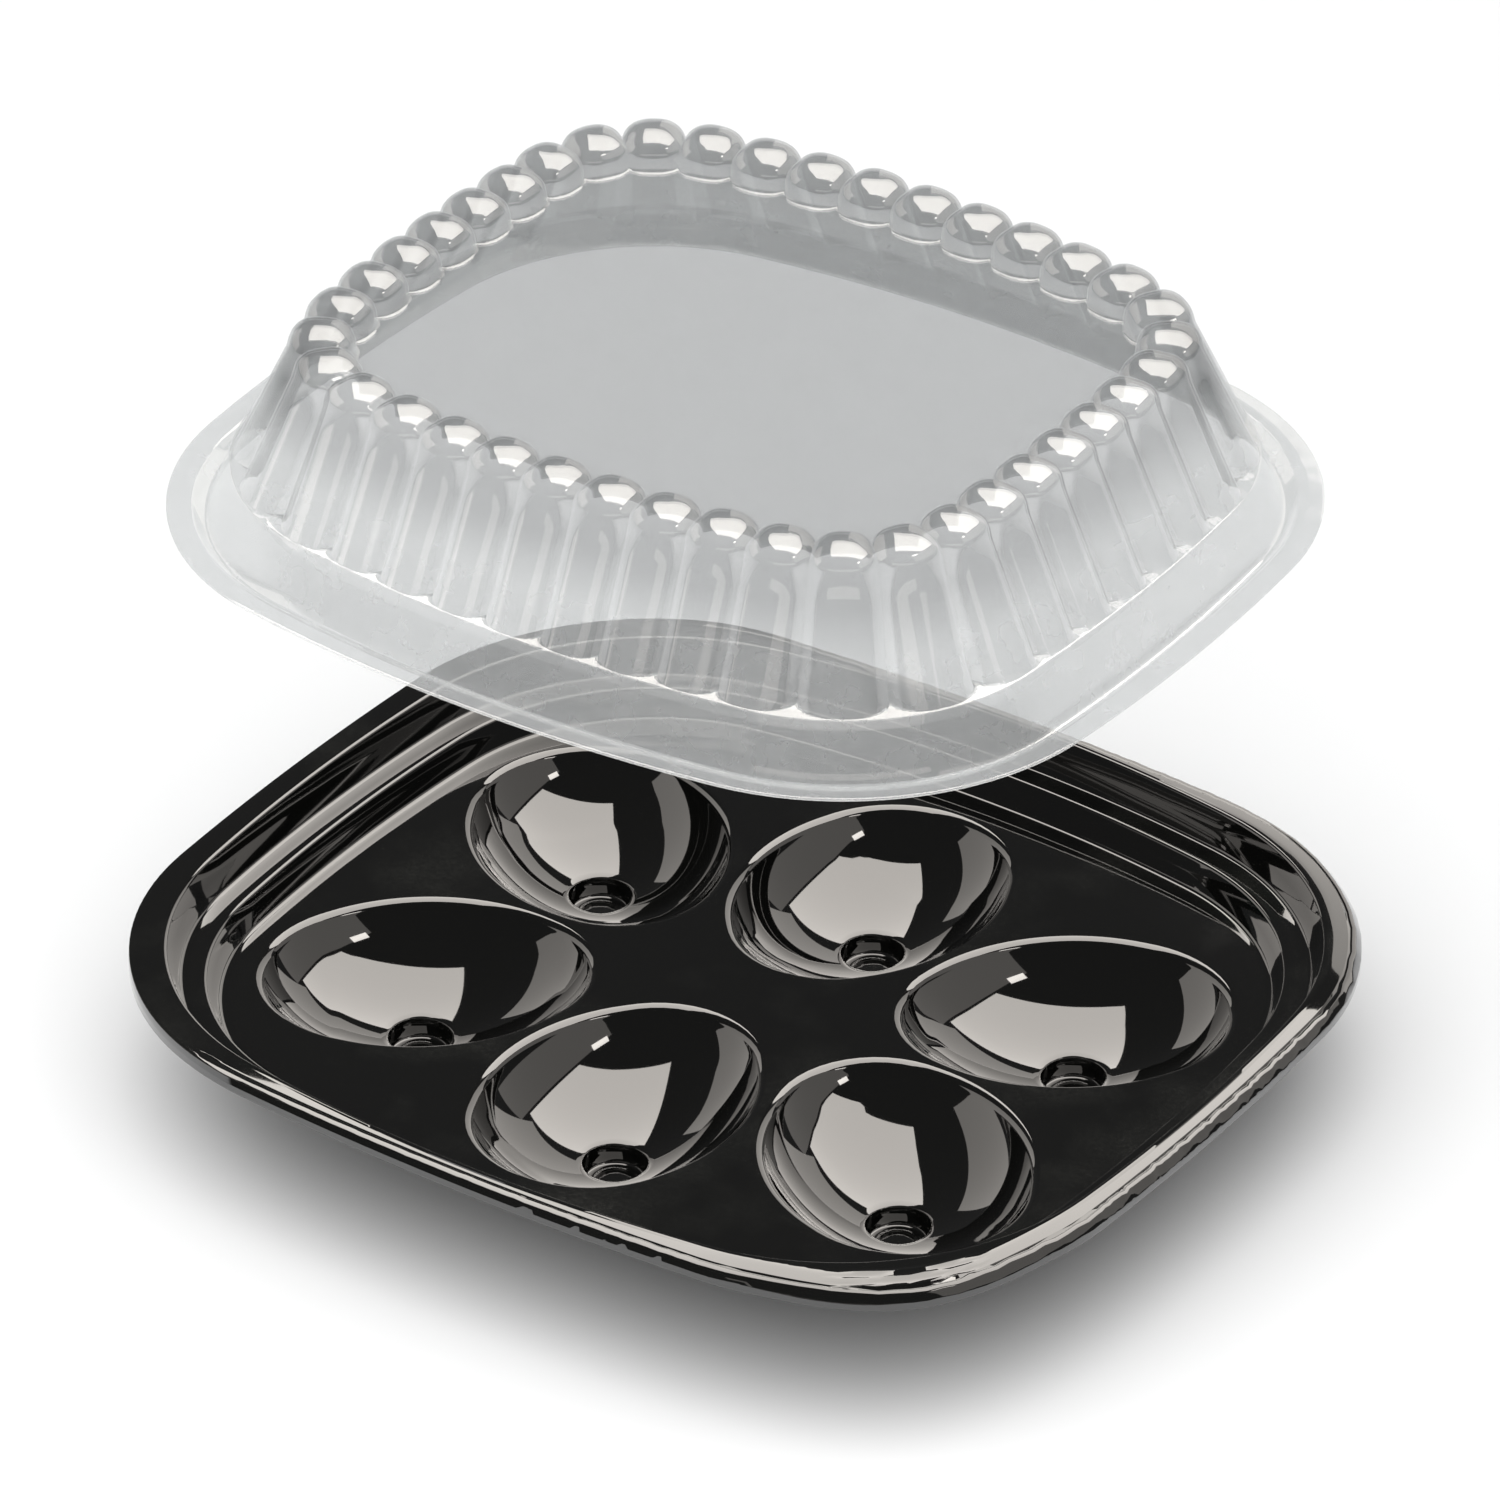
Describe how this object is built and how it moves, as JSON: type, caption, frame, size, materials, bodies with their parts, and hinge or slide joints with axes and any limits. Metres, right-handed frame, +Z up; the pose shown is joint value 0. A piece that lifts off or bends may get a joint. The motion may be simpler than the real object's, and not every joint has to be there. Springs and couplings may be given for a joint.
{
  "type": "egg carton",
  "caption": "Shallow tray with egg-shaped wells in a ring and a clear fluted dome lid that drops into the recess of its rim.",
  "frame": {"origin": "middle of the tray's plan, on the surface that its well pockets stand on", "axes": "+X along the tray's length, +Y across it towards the back, +Z up"},
  "size_m": [0.2, 0.18, 0.1562],
  "materials": {
    "black_plastic": "glossy thermoformed polystyrene sheet",
    "clear_plastic": "clear glossy thermoformed sheet"
  },
  "bodies": {
    "tray": {"tray": "black_plastic"},
    "lid": {"lid": "clear_plastic"}
  },
  "joints": [
    {"name": "lid_lift", "type": "slide", "parent": "tray", "child": "lid", "axis": [0, 0, 1], "range_m": [-0.098, 0.02]}
  ]
}
